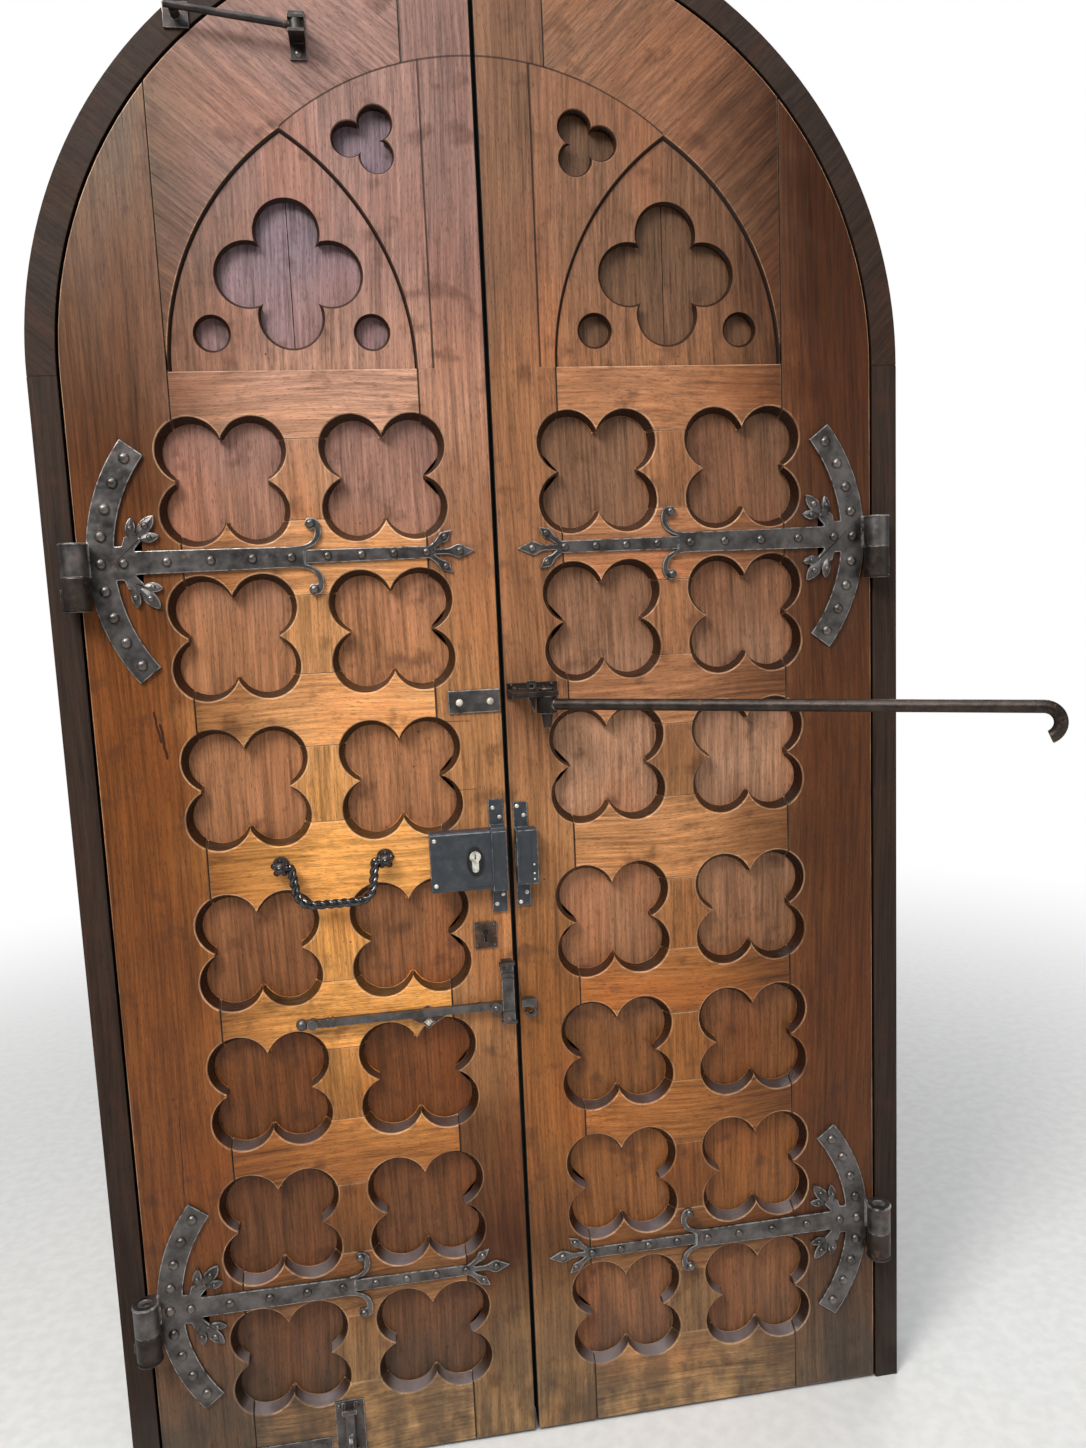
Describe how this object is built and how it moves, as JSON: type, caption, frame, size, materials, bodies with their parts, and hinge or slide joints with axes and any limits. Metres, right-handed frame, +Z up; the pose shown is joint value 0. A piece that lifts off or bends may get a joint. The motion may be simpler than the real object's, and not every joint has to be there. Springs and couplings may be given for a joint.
{
  "type": "arched double door",
  "caption": "Round-headed double-leaf oak door in a rebated frame, with quatrefoil panels, strap hinges, rim lock, latch bar, drop handle and stays.",
  "frame": {"origin": "on the floor, at the meeting line of the leaves, in the plane of their front faces", "axes": "+X to the right seen from the front, +Y away from the viewer, +Z up"},
  "size_m": [1.2916, 0.5221, 2.356],
  "materials": {
    "oak_frame": "dark stained oak",
    "oak_leaf": "oiled oak",
    "oak_board": "oiled oak",
    "forged_iron": "blackened forged iron",
    "rusty_iron": "rusted forged iron",
    "black_lock": "black powder coat",
    "nickel": "nickel plated"
  },
  "bodies": {
    "frame": {"frame_jamb_left": "oak_frame", "frame_head_left": "oak_frame", "pintle_upper_left": "rusty_iron", "pintle_lower_left": "rusty_iron", "frame_jamb_right": "oak_frame", "frame_head_right": "oak_frame", "pintle_upper_right": "rusty_iron", "pintle_lower_right": "rusty_iron", "head_stay_rest": "forged_iron"},
    "left_leaf": {"left_hinge_stile": "oak_leaf", "left_meeting_stile": "oak_leaf", "left_rails": "oak_leaf", "left_muntins": "oak_leaf", "left_arch_rail": "oak_leaf", "left_tympanum_panel": "oak_leaf", "left_boards": "oak_board", "strap_upper_left": "forged_iron", "strap_lower_left": "forged_iron", "lock_case": "black_lock", "lock_band": "black_lock", "lock_cylinder": "nickel", "keyhole_plate": "forged_iron", "latch_pivot": "forged_iron", "latch_guide": "forged_iron", "latch_rose": "forged_iron", "handle_rosettes": "forged_iron", "hasp_plate": "forged_iron", "head_stay_bracket": "forged_iron", "foot_plate": "forged_iron", "kick_strip": "forged_iron"},
    "right_leaf": {"right_hinge_stile": "oak_leaf", "right_meeting_stile": "oak_leaf", "right_rails": "oak_leaf", "right_muntins": "oak_leaf", "right_arch_rail": "oak_leaf", "right_tympanum_panel": "oak_leaf", "right_boards": "oak_board", "strap_upper_right": "forged_iron", "strap_lower_right": "forged_iron", "lock_keeper": "black_lock", "latch_catch": "forged_iron", "stay_bracket": "rusty_iron", "stay_pin": "rusty_iron", "stay_wedge": "rusty_iron"},
    "lock_bolt": {"lock_bolt": "nickel"},
    "lock_plug": {"lock_plug": "nickel"},
    "latch_bar": {"latch_bar": "forged_iron"},
    "handle": {"handle_bail": "forged_iron"},
    "stay_bar": {"stay_bar": "rusty_iron"},
    "head_stay_arm": {"head_stay_arm": "forged_iron"},
    "foot_bolt": {"foot_bolt": "forged_iron"}
  },
  "joints": [
    {"name": "left_leaf_swing", "type": "hinge", "parent": "frame", "child": "left_leaf", "pos_m": [-0.596, -0.022, 1.437], "axis": [0, 0, -1], "range_deg": [0, 95]},
    {"name": "right_leaf_swing", "type": "hinge", "parent": "frame", "child": "right_leaf", "pos_m": [0.596, -0.022, 1.437], "axis": [0, 0, 1], "range_deg": [0, 95]},
    {"name": "lock_bolt_slide", "type": "slide", "parent": "left_leaf", "child": "lock_bolt", "axis": [1, 0, 0], "range_m": [0, 0.018]},
    {"name": "lock_plug_turn", "type": "hinge", "parent": "left_leaf", "child": "lock_plug", "pos_m": [-0.057, -0.028, 0.995], "axis": [0, 1, 0], "range_deg": [0, 361]},
    {"name": "latch_bar_lift", "type": "hinge", "parent": "left_leaf", "child": "latch_bar", "pos_m": [-0.317, -0.011, 0.751], "axis": [0, -1, 0], "range_deg": [0, 8]},
    {"name": "handle_swing", "type": "hinge", "parent": "left_leaf", "child": "handle", "pos_m": [-0.2695, -0.024, 1], "axis": [-1, 0, 0], "range_deg": [0, 90]},
    {"name": "stay_bar_swing", "type": "hinge", "parent": "right_leaf", "child": "stay_bar", "pos_m": [0.058, -0.058, 1.225], "axis": [0, 0, 1], "range_deg": [-60, 28]},
    {"name": "head_stay_swing", "type": "hinge", "parent": "left_leaf", "child": "head_stay_arm", "pos_m": [-0.24226, -0.029, 2.16592], "axis": [0, 0, 1], "range_deg": [0, 60]},
    {"name": "foot_bolt_slide", "type": "slide", "parent": "left_leaf", "child": "foot_bolt", "axis": [0, 0, 1], "range_m": [0, 0.03]}
  ],
  "couplings": [
    {"joint": "lock_plug_turn", "follows": "lock_bolt_slide", "rad_per_m": 349.07}
  ]
}
